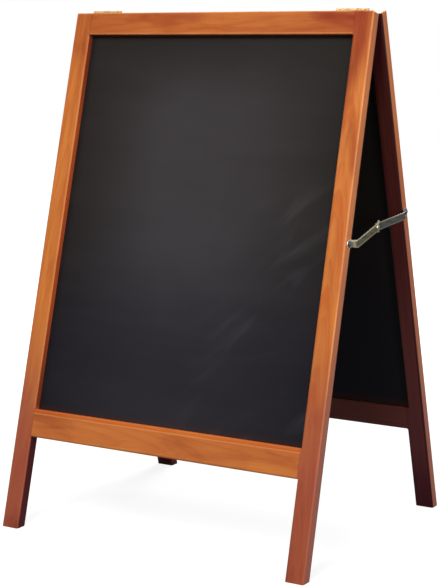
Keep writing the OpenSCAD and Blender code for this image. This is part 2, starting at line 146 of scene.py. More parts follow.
class Finish(Bench):
    """A material under construction, around one Principled shader."""

    def __init__(self, name):
        self.material = bpy.data.materials.new(name)
        self.material.use_nodes = True
        super().__init__(self.material.node_tree)
        self.shader = self.tree.nodes["Principled BSDF"]

    def fade(self, value, start, end):
        """0 where the value is at start, 1 where it is at end, with a soft step between."""
        settings = {"interpolation_type": "SMOOTHSTEP"}
        return self.make("ShaderNodeMapRange", settings, {
            "Value": value, "From Min": start, "From Max": end})

    def blend(self, share, first, second):
        """Colour that goes from first to second as share goes from 0 to 1. Among the sockets of
        a Mix node, 6 and 7 take its colours and 2 gives the blend."""
        sockets = {0: share, 6: first, 7: second}
        return self.make("ShaderNodeMix", {"data_type": "RGBA"}, sockets, 2)

    def place(self):
        return self.make("ShaderNodeTexCoord", {}, {}, "Object")

    def mapped(self, vector, shift=(0, 0, 0), turn=(0, 0, 0), stretch=(1, 1, 1)):
        """Stretches a place, then turns it, then shifts it."""
        return self.make("ShaderNodeMapping", {"vector_type": "POINT"}, {
            "Vector": vector, "Location": shift, "Rotation": turn, "Scale": stretch})

    def noise(self, vector, scale, detail=2.0, roughness=0.5, distortion=0.0):
        return self.make("ShaderNodeTexNoise", {}, {
            "Vector": vector, "Scale": scale, "Detail": detail,
            "Roughness": roughness, "Distortion": distortion}, "Fac")

    def streaks(self, vector, per_metre, **texture):
        """Noise with its own count of spots to the metre along each axis."""
        return self.noise(self.mapped(vector, stretch=per_metre), 1.0, **texture)

    def relief(self, height, depth, below=None):
        """Bump of that depth in metres, laid on another bump if one is given."""
        inputs = {"Height": height, "Strength": 1.0, "Distance": depth}
        if below is not None:
            inputs["Normal"] = below
        return self.make("ShaderNodeBump", {}, inputs, "Normal")

    def set(self, **values):
        for key, value in values.items():
            self.feed(self.shader.inputs[key.replace("_", " ")], value)


def ramp_stops(ramp, stops):
    while len(ramp.elements) < len(stops):
        ramp.elements.new(1.0)
    for element, (place, shade) in zip(ramp.elements, stops):
        element.position = place
        element.color = (shade, shade, shade, 1.0)


def tint(red, green, blue):
    """A colour in the usual 0 to 255 values, as the renderer wants it."""
    def linear(value):
        value /= 255
        return value / 12.92 if value <= 0.04045 else ((value + 0.055) / 1.055) ** 2.4
    return (linear(red), linear(green), linear(blue), 1.0)


def dress(name, finish):
    """Puts a finish on a piece of the frame, in place of the plain material that it came with."""
    mesh = nodes[name].data
    mesh.materials.clear()
    mesh.materials.append(finish.material)


fold = next(joint for joint in frame["joints"] if joint["name"] == "frame_fold")
lean = math.radians(fold["range_deg"][1]) / 2
pin_height = fold["pos_m"][2]


def frame_place(finish, end):
    """Place within a frame: x across it, y out of its plane and z up from the pins, so that all of
    its timber has y and z below 0. The rear frame is turned half round, to read like the front."""
    turn = Euler((lean, 0, 0)) if end == "front" else Euler((-lean, 0, math.pi))
    shift = turn.to_matrix() @ Vector((0, 0, -pin_height))
    return finish.mapped(finish.place(), shift=shift, turn=turn)


def span(corners):
    """Lowest and highest corner of the box around some corners."""
    return [Vector([pick(c[axis] for c in corners) for axis in range(3)]) for pick in (min, max)]


def span_in_frame(piece):
    """The same for a front piece, in the place that frame_place gives."""
    upright = Euler((lean, 0, 0)).to_matrix()
    pins = Vector((0, 0, pin_height))
    return span([upright @ (corner.co - pins) for corner in nodes[piece].data.vertices])


stile_low, stile_high = span_in_frame("front_right_stile")
opening_half, outer_face, foot = stile_low
frame_half, inner_face, top_edge = stile_high
top_rail_low = span_in_frame("front_top_rail")[0][2]
bottom_rail_low, bottom_rail_high = [corner[2] for corner in span_in_frame("front_bottom_rail")]
stile_middle = (opening_half + frame_half) / 2
top_rail_middle = (top_rail_low + top_edge) / 2
bottom_rail_middle = (bottom_rail_low + bottom_rail_high) / 2

# Radius of the eased arrises.
ease = 0.003

stain_bright = tint(212, 127, 58)
stain_mid = tint(192, 98, 46)
# Lighter orange for streaks that are partly the wood's figure and partly a painted sheen.
figure_and_sheen_orange = tint(220, 137, 59)
stain_flame = tint(187, 84, 30)
stain_deep = tint(139, 44, 11)
stain_foot = tint(149, 71, 59)
stain_line = tint(106, 38, 18)
# Painted highlight along the top edge.
crest_painted_highlight = tint(228, 148, 60)
# Side-face colours: a painted reflection that greys the legs, and painted light at the top.
side_painted_reflection = tint(169, 110, 92)
side_top_painted_light = tint(192, 106, 52)
# Reveal colours: painted shade, and painted light part way up.
reveal_painted_shade = tint(128, 44, 18)
reveal_painted_light = tint(184, 76, 34)
# Painted light for the sill band on the bottom rail.
sill_painted_light = tint(204, 92, 20)
# Painted shade under the top rail.
head_painted_shade = tint(52, 17, 7)
# Painted shade for faces inside the sign, lighter low down, darkest on the outer arrises.
inside_painted_shade = tint(61, 15, 28)
inside_painted_shade_low = tint(84, 40, 42)
inside_arris_painted_shade = tint(46, 8, 4)
# Pale colours for worn arrises, which also carry a painted highlight.
pale_wear_and_highlight = tint(236, 158, 98)
leg_wear_and_highlight = tint(200, 126, 100)


class Timber(Finish):
    """Stained pine, as one piece of a frame has it. middle is the piece's middle across the grain,
    and pith how far the log's heart lies from it, across and behind the face, and its tilt. cut
    numbers the length of log that the piece is sawn from. thirst is how much stain it drinks:
    it makes the figure livelier and the soaked parts darker. A band is where a fade starts and
    ends, mostly as heights below the pins."""

    ring_width = 0.0034
    flame_width = 0.0065
    ring_wander = 0.016
    cut_step = Vector((0.37, 0.11, 1.7))
    rear_cut = 0.5

    def __init__(self, end, piece, middle, thirst, pith, cut):
        super().__init__(f"{end}_{piece}_timber")
        self.end = end
        self.piece = piece
        self.upright = piece.endswith("stile")
        self.middle = middle
        self.thirst = thirst
        self.x, self.y, self.z = self.axes(frame_place(self, end))
        self.off_middle = abs(self.x)
        self.on_face = self.fade(self.y, outer_face + ease, outer_face + ease * 0.4)
        self.saw(pith, cut if end == "front" else cut + self.rear_cut)
        self.damp = self.dampened()
        tone = self.stained()
        for step in (self.handled_and_highlit, self.side_face_light, self.opening, self.inner_face_shade):
            tone = step(tone)
        self.varnish(tone)

    def saw(self, pith, cut):
        """Growth rings around the pith, and the fibres and blotches that follow the grain."""
        along, across = (self.z, self.x) if self.upright else (self.x, self.z)
        across = across - self.middle
        pith_across, pith_behind, pith_tilt = pith
        self.grain = self.mapped(self.join(across, self.y, along), shift=self.cut_step * cut)
        wander = self.streaks(self.grain, (14, 14, 2.2)) - 0.5
        aside = across - pith_across + wander * self.ring_wander
        self.radius = self.distance(aside, self.y - pith_behind - along * pith_tilt)
        self.ripple = self.streaks(self.grain, (60, 60, 7)) - 0.5
        growth = self.maths("FRACT", self.radius / self.ring_width + self.ripple * 0.9)
        stops = [(0.0, 0.15), (0.5, 0.3), (0.8, 0.85), (0.9, 1.0), (1.0, 0.15)]
        self.late = self.make("ShaderNodeValToRGB", {"stops": stops}, {"Fac": growth})
        self.fibre = self.streaks(self.grain, (520, 520, 9), detail=3.0, roughness=0.6)
        self.streak = self.streaks(self.grain, (150, 150, 3), roughness=0.55)
        self.blotch = self.streaks(
            self.grain, (26, 26, 7), detail=3.0, roughness=0.55, distortion=0.6)
        self.cloud = self.streaks(self.grain, (9, 9, 3), detail=1.0)

    def dampened(self):
        """How far wet pavements have dulled the stain: the legs most, the bottom rail a little."""
        leg_band = (-0.44, -0.74)
        rail_band = (-0.44, -0.9)
        if self.upright:
            return self.fade(self.z, *leg_band)
        return self.fade(self.z, *rail_band) * 0.3

    def stained(self):
        """Streaky stain over the rings, with flames on thirsty wood, deeper where it soaks in."""
        calm = 1.0 - self.thirst
        figure = self.late * 0.34 + (self.streak - 0.5) * 1.3 + (self.fibre - 0.5) * 0.7 + 0.14
        figure = figure * (1.0 - calm * 0.5) + calm * 0.18
        tone = self.blend(self.fade(figure, -0.1, 1.0), stain_bright, stain_mid)
        # Lighter streaks along the grain: partly figure, partly a painted sheen of the satin wood.
        figure_and_sheen = self.fade(self.streaks(self.grain, (70, 70, 5), detail=1.0), 0.52, 0.74)
        tone = self.blend(figure_and_sheen * 0.6, tone, figure_and_sheen_orange)
        wave = self.maths("FRACT", self.radius / self.flame_width + self.ripple * 0.3)
        flame = self.fade(wave, 0.55, 0.88) * self.fade(wave, 1.0, 0.94)
        flame = flame * self.fade(self.cloud, 0.3, 0.55)
        tone = self.blend(flame * self.thirst * 0.56, tone, stain_flame)
        tone = self.blend(self.soaked(), tone, stain_deep)
        tone = self.blend(self.damp * (0.5 + self.blotch * 0.6), tone, stain_foot)
        foot_band = (-0.6, -0.78)
        tone = self.blend(self.fade(self.z, *foot_band) * self.thirst * 0.22, tone, stain_deep)
        pore = self.fade(self.streaks(self.grain, (900, 900, 26), detail=1.0), 0.66, 0.76)
        return self.blend(pore * 0.3 + self.late * 0.07, tone, stain_line)

    def soaked(self):
        """Where stain soaks in: blotches, a stile's top down to a slanting line, a rail's ends."""
        soak = self.fade(self.blotch, 0.46, 0.74) * 0.42 + self.fade(self.cloud, 0.5, 0.8) * 0.25
        if self.upright:
            slant = 2.6
            drawn_band = (-0.165, -0.06)
            drawn = self.fade(self.z - (self.off_middle - stile_middle) * slant, *drawn_band)
            rim = self.fade(self.off_middle, stile_middle + 0.004, frame_half - ease)
            drawn = drawn * (1.0 - rim * 0.4) * (0.37 + self.streak * 1.2)
            return soak * (0.4 + self.thirst * 0.7) + drawn * self.thirst
        end_band = (0.12, 0.26)
        right_band = (0.08, 0.24)
        ends = self.fade(self.off_middle, *end_band) * (0.08 + self.thirst * 0.4)
        return soak + ends + (self.fade(self.x, *right_band) * 0.4 + 1.0) * self.thirst

    def handled_and_highlit(self, tone):
        """Arrises rubbed pale by hands under a painted highlight, scuffed feet, dark seams and a
        painted highlight on the top edge.
        """
        rub = self.streaks(self.grain, (30, 30, 12), detail=4.0, roughness=0.7)
        rub = self.fade(rub, 0.36, 0.66)
        edge = self.fade(self.off_middle, frame_half - ease * 0.8, frame_half - ease * 0.3)
        edge = self.stronger(edge, self.fade(self.z, top_edge - ease, top_edge - ease * 0.5))
        edge = self.stronger(edge, self.opening_arris_wear_and_highlight())
        # Arrises, top edge and opening: rubbed pale, with a painted highlight laid on the wear.
        rubbed = edge * self.on_face * (0.3 + rub * 0.35) * (1.0 - self.damp * 0.4)
        tone = self.blend(rubbed, tone, self.blend(self.damp, pale_wear_and_highlight, leg_wear_and_highlight))
        if self.upright:
            scuff_height = 0.035
            scuff = self.fade(self.z, foot + scuff_height, foot) * rub
            tone = self.blend(scuff * 0.55, tone, stain_line)
        else:
            seam = self.fade(self.off_middle, opening_half - 0.0012, opening_half - 0.0002)
            tone = self.blend(seam * 0.6, tone, stain_line)
        # A painted highlight along the top edge, where the light from above catches it.
        crest_highlight = self.fade(self.z, top_edge - 0.0012, top_edge - 0.0004)
        return self.blend(crest_highlight * 0.5, tone, crest_painted_highlight)

    def opening_arris_wear_and_highlight(self):
        """The arris around the opening, worn pale under a painted highlight, least on the bottom
        rail, where no hand goes.
        """
        if self.upright:
            edge = self.fade(self.off_middle, opening_half + ease * 0.7, opening_half)
            return edge * self.framed() * 0.65
        if self.piece == "top_rail":
            return self.fade(self.z - top_rail_low, ease * 1.5, ease * 0.9) * 0.6
        return self.fade(bottom_rail_high - self.z, ease * 1.5, ease * 0.9) * 0.1

    def framed(self):
        """Heights between the rails."""
        above_sill = self.fade(self.z, bottom_rail_high - 0.0025, bottom_rail_high + 0.0075)
        return above_sill * self.fade(self.z, top_rail_middle, top_rail_low - 0.001)

    def side_face_light(self, tone):
        """Side faces in painted light: greyed by painted reflection low down, warmer above, and a
        painted highlight on the front's.
        """
        flank = self.fade(self.off_middle, frame_half - ease * 0.6, frame_half - ease * 0.1)
        top_band = (-0.42, -0.12)
        highlight_top = (-0.08, -0.2)
        highlight_low = (-0.48, -0.3)
        # Painted light on the side faces: greyed low down, warmer up top.
        side = self.blend(self.fade(self.z, *top_band), side_painted_reflection, side_top_painted_light)
        if self.end == "front":
            # A painted highlight part way down the front frame's side faces.
            side_highlight = self.fade(self.z, *highlight_top) * self.fade(self.z, *highlight_low)
            side = self.blend(side_highlight * 0.5, side, pale_wear_and_highlight)
        return self.blend(flank * (1.0 - self.on_face) * 0.55, tone, side)

    def opening(self, tone):
        """Faces into the opening, in painted light and shade: reveals lit half way up, a shaded head
        and a lit sill painted down over its arris to a pale highlight line. Below the sill no light
        falls."""
        if self.upright:
            reveal = self.fade(self.off_middle, opening_half + 0.0008, opening_half + 0.0002)
            reveal = reveal * (1.0 - self.on_face)
            # Painted light on the reveals part way up, with painted shade above and below it.
            lit_top = (-0.1, -0.22)
            lit_low = (-0.64, -0.48)
            lit = self.fade(self.z, *lit_top) * self.fade(self.z, *lit_low)
            lit = self.blend(lit * 0.8, reveal_painted_shade, reveal_painted_light)
            tone = self.blend(reveal * self.framed() * 0.8, tone, lit)
            # Painted shade on the reveals below the bottom rail.
            below = self.fade(self.z, bottom_rail_low + 0.009, bottom_rail_low - 0.003)
            return self.blend(reveal * below * 0.9, tone, inside_painted_shade)
        if self.piece == "top_rail":
            # Painted shade along the top rail's underside, which faces down, away from the lamps.
            head = self.fade(self.z, top_rail_low + 0.0014, top_rail_low + 0.0004)
            return self.blend(head * 0.8, tone, head_painted_shade)
        # A band of painted light under the sill's arris, standing in for its lit top face, then a
        # painted highlight line.
        sill_line = bottom_rail_high - 0.0073
        sill = self.fade(self.z, sill_line - 0.0002, sill_line + 0.0018)
        tone = self.blend(sill * 0.5, tone, sill_painted_light)
        line = self.fade(abs(self.z - sill_line), 0.0014, 0.0004)
        return self.blend(line * self.on_face * 0.4, tone, pale_wear_and_highlight)

    def inner_face_shade(self, tone):
        """Faces towards the other frame, in painted shade, lighter low down and darkest on the outer
        arrises.
        """
        inside = self.fade(self.y, inner_face - ease * 1.5, inner_face - ease * 0.6)
        low_band = (-0.3, -0.7)
        foot_band = (-0.73, -0.82)
        # Painted shade over the inner faces, lighter low down.
        inside_shade = self.blend(self.fade(self.z, *low_band), inside_painted_shade, inside_painted_shade_low)
        inside_shade = self.blend(self.fade(self.z, *foot_band), inside_shade, inside_painted_shade)
        tone = self.blend(inside * (0.94 + (self.streak - 0.5) * 0.15), tone, inside_shade)
        # Painted shade, darkest along the inner faces' outer arrises.
        arris = self.fade(self.off_middle, frame_half - ease, frame_half - ease * 0.6) * inside
        return self.blend(arris * 0.9, tone, inside_arris_painted_shade)

    def varnish(self, tone):
        """A thin satin coat, with the late wood and the fibres felt through it."""
        rough = 0.38 + (self.fibre - 0.5) * 0.16 + self.late * 0.05
        rough = rough + self.fade(self.blotch, 0.4, 0.8) * 0.08
        fine = self.relief(self.fibre * 0.6 + self.late * 0.4, depth=0.00016)
        self.set(
            Base_Color=tone, Roughness=rough,
            Normal=self.relief(self.streak, depth=0.00025, below=fine),
            Specular_IOR_Level=0.17, Coat_Weight=0.03, Coat_Roughness=0.25,
        )


timber_pieces = {
    "left_stile": {
        "middle": -stile_middle, "thirst": 0.36, "pith": (0.006, 0.034, 0.035), "cut": 10},
    "right_stile": {
        "middle": stile_middle, "thirst": 0.86, "pith": (-0.004, 0.030, 0.045), "cut": 11},
    "top_rail": {
        "middle": top_rail_middle, "thirst": 0.3, "pith": (0.012, 0.040, 0.030), "cut": 8},
    "bottom_rail": {
        "middle": bottom_rail_middle, "thirst": 0.0, "pith": (-0.010, 0.036, 0.040), "cut": 11},
}
for end in ("front", "rear"):
    for piece, log in timber_pieces.items():
        dress(f"{end}_{piece}", Timber(end, piece, **log))


# Chalkboards. Each is 5 mm hardboard, laid in the rabbet from behind, with matt black paint on
# both faces. The face that is written on keeps a haze of wiped chalk and a few smudges; the
# haze over the middle is also a painted sheen, and painted shade lies along the stiles.
board_low, board_high = span_in_frame("front_chalkboard")
board_face = board_low[1]
board_back = board_high[1]
black_warm = tint(31, 26, 23)
black_cool = tint(19, 17, 24)
# Painted shade for the board along the stiles.
black_painted_shade = tint(13, 11, 13)
black_sill = tint(50, 25, 17)
# Chalk colour, which also lays a painted sheen over the middle of the board.
chalk_and_sheen = tint(150, 147, 157)


def board_paint(end):
    """Matt black, cooler lower down, in painted shade by the stiles and stained by the sill, with a
    painted sheen in the wiped middle.
    """
    paint = Finish(f"{end}_chalkboard_paint")
    place = frame_place(paint, end)
    x, y, z = paint.axes(place)
    off_middle = abs(x)
    speck = paint.streaks(place, (900, 900, 900), roughness=0.6)
    haze = paint.streaks(place, (4.2, 4.2, 4.2), detail=3.0)

    cool_band = (-0.25, -0.6)
    # Painted shade on the board beside the stiles.
    rim = paint.fade(off_middle, opening_half - 0.014, opening_half - 0.001)
    by_sill = paint.fade(z, bottom_rail_high + 0.012, bottom_rail_high)
    tone = paint.blend(paint.fade(z, *cool_band), black_warm, black_cool)
    tone = paint.blend(rim * 0.7, tone, black_painted_shade)
    tone = paint.blend(by_sill * 0.5, tone, black_sill)

    # The wiped haze over the middle is chalk dust and a painted sheen.
    wiped_and_sheen_across = (0.25, 0.03)
    wiped_and_sheen_top = (-0.02, -0.2)
    wiped_and_sheen_low = (-0.56, -0.36)
    wiped_and_sheen = paint.fade(off_middle, *wiped_and_sheen_across) * paint.fade(z, *wiped_and_sheen_top)
    wiped_and_sheen = wiped_and_sheen * (0.4 + paint.fade(z, *wiped_and_sheen_low) * 0.6)

    # The wipes lie level, because a mapping stretches before it turns, and the turn only picks
    # other noise. The smears slant, because a mapping of their own turns them before the stretch.
    level = paint.mapped(place, turn=(0, 0.5, 0), stretch=(5, 5, 26))
    wipe = paint.noise(level, 1.0, detail=4.0, roughness=0.6, distortion=0.8)
    smear_shift = (0.0, 0.0, 0.0) if end == "front" else (1.3, 0.4, 0.9)
    slant = paint.mapped(place, turn=(0, 0.75, 0))
    slant = paint.mapped(slant, shift=smear_shift, stretch=(6, 6, 24))
    smear_across = (-0.02, 0.14)
    smear_top = (-0.2, -0.4)
    smear = paint.fade(paint.noise(slant, 1.0, distortion=0.6), 0.54, 0.82)
    smear = smear * paint.fade(x, *smear_across) * paint.fade(z, *smear_top)

    dust_and_sheen = (wipe - 0.35) * 0.03 + wiped_and_sheen * (0.03 + haze * 0.1)
    dust_and_sheen = dust_and_sheen + (speck - 0.5) * 0.03 + smear * 0.08
    written_on = paint.fade(y, board_back, board_face)
    tone = paint.blend(paint.stronger(dust_and_sheen * written_on, 0.0), tone, chalk_and_sheen)
    paint.set(
        Base_Color=tone, Roughness=0.62 + (speck - 0.5) * 0.12 + haze * 0.08,
        Normal=paint.relief(speck, depth=0.00008), Specular_IOR_Level=0.12,
    )
    return paint


for end in ("front", "rear"):
    dress(f"{end}_chalkboard", board_paint(end))


# Dowels and panel pins. Plain beech dowels lock the corner joints inside the timber, and blued
# steel pins hold each board down in its rabbet from behind.
beech_pale = tint(222, 188, 142)
beech_mid = tint(196, 154, 104)
beech_fleck = tint(150, 100, 62)


def dowel_beech(end):
    """Beech along the dowels, with its small dark flecks."""
    wood = Finish(f"{end}_dowels_beech")
    place = frame_place(wood, end)
    fleck = wood.streaks(place, (60, 900, 900))
    grain = wood.streaks(place, (25, 320, 320), detail=3.0)
    tone = wood.blend(grain, beech_pale, beech_mid)
    tone = wood.blend(wood.fade(fleck, 0.62, 0.72) * 0.5, tone, beech_fleck)
    wood.set(
        Base_Color=tone, Roughness=0.55 + grain * 0.15,
        Normal=wood.relief(grain, depth=0.0001),
    )
    return wood


def metal(name, bright, dull, roughness, mottle_scale=180.0):
    """A worked metal: fine tool marks, a mottled skin and a few brighter rubs."""
    skin = Finish(name)
    place = skin.place()
    mottle = skin.noise(place, mottle_scale, detail=4.0, roughness=0.6, distortion=0.5)
    fine = skin.noise(place, mottle_scale * 9, roughness=0.6)
    marks = skin.noise(skin.mapped(place, turn=(0.4, 0.2, 0.7), stretch=(2400, 160, 160)), 1.0)
    tarnish = skin.fade(mottle, 0.42, 0.66)
    tone = skin.blend(tarnish, bright, dull)
    tone = skin.blend(skin.fade(marks, 0.6, 0.8) * 0.35, tone, bright)
    skin.set(
        Base_Color=tone, Metallic=1.0, Roughness=roughness + tarnish * 0.16 + (fine - 0.5) * 0.14,
        Normal=skin.relief(marks * 0.5 + fine * 0.5, depth=0.00003),
    )
    return skin


pin_steel = metal(
    "blued_pin_steel", bright=tint(92, 90, 94), dull=tint(52, 50, 52), roughness=0.42)
for end in ("front", "rear"):
    dress(f"{end}_dowels", dowel_beech(end))
    dress(f"{end}_board_pins", pin_steel)


# Hinges. Two five-knuckle butt hinges of pale brass plate join the frames along their top edges,
# with the leaves between the inner faces and the barrels standing just above the timber. The
# leaves are held by slotted brass wood screws, whose slots stop where the driver left them.
hinge_brass = metal(
    "hinge_brass", bright=tint(226, 190, 138), dull=tint(174, 134, 86),
    roughness=0.34, mottle_scale=120.0)
pin_brass = metal(
    "hinge_pin_brass", bright=tint(218, 184, 130), dull=tint(160, 124, 78),
    roughness=0.34, mottle_scale=240.0)
screw_brass = metal(
    "hinge_screw_brass", bright=tint(224, 192, 140), dull=tint(164, 128, 82),
    roughness=0.30, mottle_scale=300.0)
for side in ("left", "right"):
    dress(f"{side}_hinge_pin", pin_brass)
    for end in ("front", "rear"):
        dress(f"{end}_{side}_hinge_leaf", hinge_brass)


def screw_tree():
    """Slotted wood screws, one on each seat, pointing along the seat's aim attribute. Each is a
    blank of five rings turned to shape, with a slot sawn in its head and a thread rolled on."""
    tree = bpy.data.node_groups.new("wood_screws", "GeometryNodeTree")
    lengths = ("Head Diameter", "Head Height", "Head Rim", "Countersink", "Shank Diameter",
               "Length", "Tip", "Slot Width", "Slot Depth", "Thread Pitch")
    wanted = [("Seats", "Geometry"), *((label, "Float") for label in lengths),
              ("Seed", "Int"), ("Metal", "Material")]
    for label, kind in wanted:
        tree.interface.new_socket(label, in_out="INPUT", socket_type="NodeSocket" + kind)
    tree.interface.new_socket("Screws", in_out="OUTPUT", socket_type="NodeSocketGeometry")
    bench = Bench(tree)
    given = bench.node("NodeGroupInput", {}, {})
    size = {label: bench.out(given, label) for label, kind in wanted}
    root_share = 0.38
    point_share = 0.12
    thread_share = 0.66
    thread_sunk = 0.98

    blank = bench.make("GeometryNodeMeshCylinder", {"fill_type": "TRIANGLE_FAN"}, {
        "Vertices": 32, "Side Segments": 4, "Fill Segments": 6, "Radius": 1.0, "Depth": 4.0})
    x, y, z = bench.axes(bench.make("GeometryNodeInputPosition", {}, {}))
    ring = bench.maths("ROUND", 2.0 - z)
    head = size["Head Diameter"] / 2.0
    core = size["Shank Diameter"] * root_share
    dome = size["Head Height"] - size["Head Rim"]
    ball = (head * head + dome * dome) / (dome * 2.0)
    off_axis = bench.distance(x, y) * head
    crown = bench.maths("SQRT", ball * ball - off_axis * off_axis) - (ball - dome)
    shoulder = size["Length"] - size["Tip"]
    width = bench.make("GeometryNodeIndexSwitch", {"data_type": "FLOAT", "choices": 5}, {
        "Index": ring, 1: head, 2: head, 3: core, 4: core, 5: core * point_share})
    height = bench.make("GeometryNodeIndexSwitch", {"data_type": "FLOAT", "choices": 5}, {
        "Index": ring, 1: size["Head Rim"] + crown, 2: 0.0, 3: 0.0 - size["Countersink"],
        4: 0.0 - shoulder, 5: 0.0 - size["Length"]})
    spot = bench.join(x * width, y * width, height)
    turned = bench.make("GeometryNodeSetPosition", {}, {"Geometry": blank, "Position": spot})
    turned = bench.make("GeometryNodeMergeByDistance", {}, {"Geometry": turned, "Distance": 1e-6})
    blade = bench.join(size["Head Diameter"] * 1.3, size["Slot Width"], size["Slot Depth"] * 2.0)
    cutter = bench.make("GeometryNodeMeshCube", {}, {"Size": blade})
    cutter = bench.make("GeometryNodeTransform", {}, {
        "Geometry": cutter, "Translation": bench.join(0.0, 0.0, size["Head Height"])})
    slotted = bench.make("GeometryNodeMeshBoolean", {"operation": "DIFFERENCE"}, {
        "Mesh 1": turned, "Mesh 2": cutter})

    rise = (shoulder - size["Countersink"]) * thread_share
    coil = core * thread_sunk
    helix = bench.make("GeometryNodeCurveSpiral", {}, {
        "Resolution": 18, "Rotations": rise / size["Thread Pitch"],
        "Start Radius": coil, "End Radius": coil, "Height": rise})
    ridge = bench.make("GeometryNodeCurvePrimitiveCircle", {}, {
        "Resolution": 3, "Radius": size["Shank Diameter"] / 2.0 - core})
    thread = bench.make("GeometryNodeCurveToMesh", {}, {
        "Curve": helix, "Profile Curve": ridge, "Fill Caps": True})
    thread = bench.make("GeometryNodeTransform", {}, {
        "Geometry": thread, "Translation": bench.join(0.0, 0.0, 0.0 - shoulder)})
    screw = bench.make("GeometryNodeJoinGeometry", {}, {"Geometry": [slotted, thread]})
    angle = bench.make("GeometryNodeInputMeshEdgeAngle", {}, {})
    screw = bench.make("GeometryNodeSetShadeSmooth", {"domain": "EDGE"}, {
        "Geometry": screw, "Shade Smooth": bench.maths("LESS_THAN", angle, 0.6)})

    aim = bench.make("GeometryNodeInputNamedAttribute", {"data_type": "FLOAT_VECTOR"}, {
        "Name": "aim"})
    upright = bench.make("FunctionNodeAlignRotationToVector", {"axis": "Z"}, {"Vector": aim})
    low_socket, high_socket, drawn_socket = 2, 3, 1
    stop = bench.make("FunctionNodeRandomValue", {"data_type": "FLOAT"}, {
        low_socket: 0.0, high_socket: math.pi, "Seed": size["Seed"]}, drawn_socket)
    driven = bench.make("FunctionNodeAxisAngleToRotation", {}, {
        "Axis": (0.0, 0.0, 1.0), "Angle": stop})
    facing = bench.make("FunctionNodeRotateRotation", {"rotation_space": "LOCAL"}, {
        "Rotation": upright, "Rotate By": driven})
    placed = bench.make("GeometryNodeInstanceOnPoints", {}, {
        "Points": size["Seats"], "Instance": screw, "Rotation": facing})
    placed = bench.make("GeometryNodeRealizeInstances", {}, {"Geometry": placed})
    placed = bench.make("GeometryNodeSetMaterial", {}, {
        "Geometry": placed, "Material": size["Metal"]})
    bench.node("NodeGroupOutput", {}, {0: placed})
    return tree


screws_pattern = screw_tree()


def solids(name):
    """The separate solids of a CAD node, each as a list of its corners, in order of place."""
    shape = bmesh.new()
    shape.from_mesh(nodes[name].data)
    bmesh.ops.remove_doubles(shape, verts=shape.verts, dist=1e-6)
    waiting = set(shape.verts)
    found = []
    while waiting:
        reach = [waiting.pop()]
        group = []
        while reach:
            corner = reach.pop()
            group.append(corner.co.copy())
            for edge in corner.link_edges:
                other = edge.other_vert(corner)
                if other in waiting:
                    waiting.discard(other)
                    reach.append(other)
        found.append(group)
    shape.free()
    return sorted(found, key=lambda group: [round(low, 5) for low in span(group)[0]])


def drive_screws(piece, old, body, seats, sizes):
    """Sets a screw on each seat, makes one mesh of them and lets it stand for the CAD's screws."""
    mesh = bpy.data.meshes.new(piece + "_seats")
    mesh.from_pydata([seat for seat, aim in seats], [], [])
    for mark, (seat, aim) in zip(mesh.attributes.new("aim", "FLOAT_VECTOR", "POINT").data, seats):
        mark.vector = aim
    screws = bpy.data.objects.new(piece, mesh)
    bpy.context.scene.collection.objects.link(screws)
    modifier = screws.modifiers.new("screws", "NODES")
    modifier.node_group = screws_pattern
    for item in screws_pattern.interface.items_tree:
        if item.name in sizes:
            modifier[item.identifier] = sizes[item.name]
    graph = bpy.context.evaluated_depsgraph_get()
    made = bpy.data.meshes.new_from_object(screws.evaluated_get(graph), depsgraph=graph)
    made.materials.clear()
    made.materials.append(sizes["Metal"])
    made.polygons.foreach_set("material_index", [0] * len(made.polygons))
    screws.modifiers.remove(modifier)
    screws.data = made
    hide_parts(old)
    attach(screws, body)


def face_seats(name, aim):
    """Seats of countersunk screws: the middle of each one's flat head, which faces along aim."""
    seats = []
    for group in solids(name):
        top = max(corner.dot(aim) for corner in group)
        low, high = span([corner for corner in group if corner.dot(aim) > top - 1e-5])
        seats.append(((low + high) / 2, aim))
    return seats


# The dressed screws are this much smaller than the CAD's, so that they lie inside them.
screw_skin = 0.00004
hinge_screw = {
    "Head Diameter": 0.0052 - screw_skin, "Head Height": 0.0, "Head Rim": 0.0,
    "Countersink": 0.0011, "Shank Diameter": 0.003 - screw_skin, "Length": 0.01 - screw_skin,
    "Tip": 0.0025, "Slot Width": 0.0007, "Slot Depth": 0.0006, "Thread Pitch": 0.0011,
    "Seed": 3, "Metal": screw_brass.material,
}
for end, inwards in (("front", 1), ("rear", -1)):
    head_aim = Vector((0, inwards * math.cos(lean), -math.sin(lean)))
    seats = face_seats(f"{end}_hinge_screws", head_aim)
    drive_screws(f"{end}_slotted_hinge_screws", f"{end}_hinge_screws", f"{end}_frame",
                 seats, hinge_screw)


# Folding stays. Each is two cranked steel links with an antique bronze finish, worn bright along
# the edges under painted highlights, the rear ones in painted shade, that turn on round-head
# screws in the stiles and on a rivet in the middle.
link_half = 0.006
eye_radius = 0.0065
eye_rise = 0.004
rub_line = 0.0011
# The rear links' darker, greyer colours are the front's bronze in painted shade.
link_finishes_lit_and_shaded = {
    "front": {"dark": tint(74, 68, 46), "mid": tint(124, 116, 84), "worn_and_highlit": tint(250, 240, 214)},
    "rear": {"dark": tint(56, 60, 54), "mid": tint(94, 98, 90), "worn_and_highlit": tint(206, 194, 172)},
}


